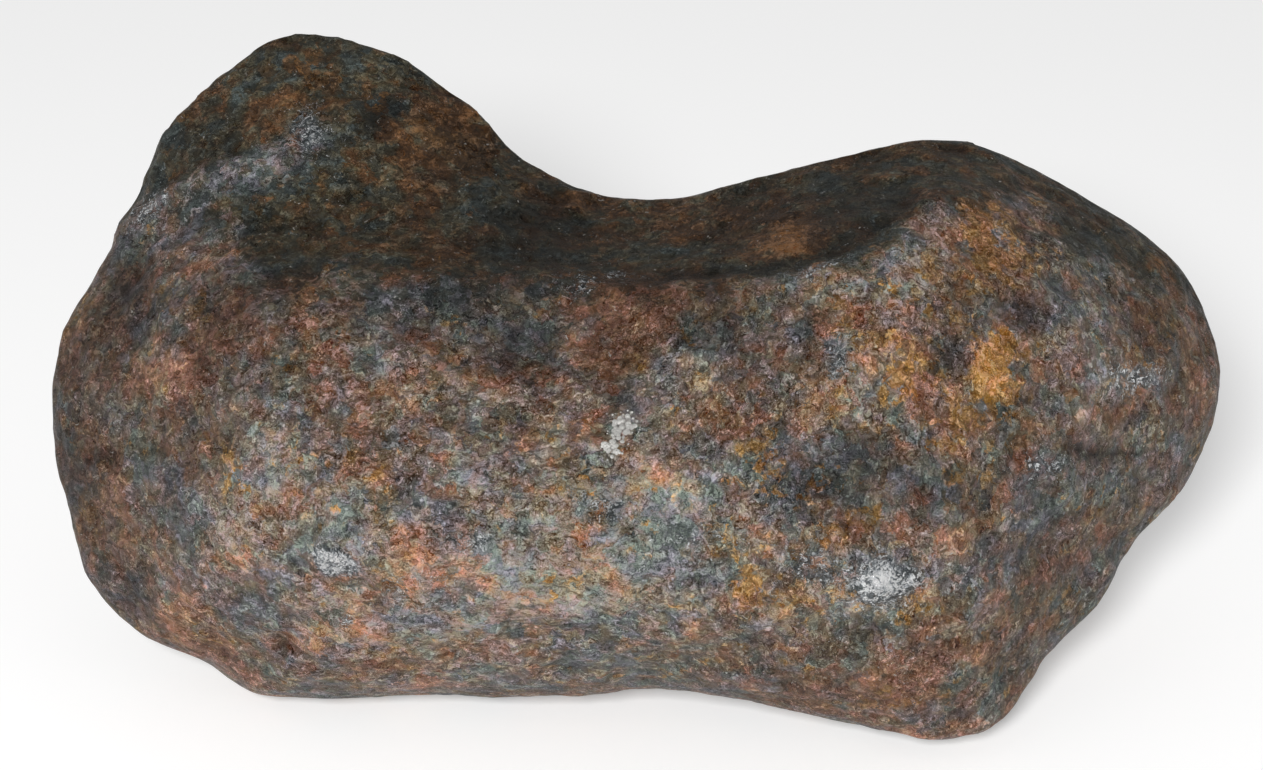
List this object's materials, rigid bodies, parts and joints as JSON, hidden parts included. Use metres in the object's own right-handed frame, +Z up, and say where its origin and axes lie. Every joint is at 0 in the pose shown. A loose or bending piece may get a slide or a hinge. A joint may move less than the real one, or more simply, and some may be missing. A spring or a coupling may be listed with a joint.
{
  "type": "meteorite",
  "caption": "Saddle-topped iron meteorite: one solid lump with a humped end, a shallow hollow along its top and a rusted, pitted crust, resting on its own underside.",
  "frame": {"origin": "centre of the bounding box in plan, on the surface that the lump rests on", "axes": "+X along the length towards the narrower end, +Y towards the back of the broad face, +Z up"},
  "size_m": [0.2, 0.0984, 0.1013],
  "materials": {
    "rusted_crust": "weathered nickel-iron: brown, orange and slate-grey rust crust, dull with a few glinting spots"
  },
  "bodies": {
    "root": {"meteorite": "rusted_crust"}
  },
  "joints": []
}
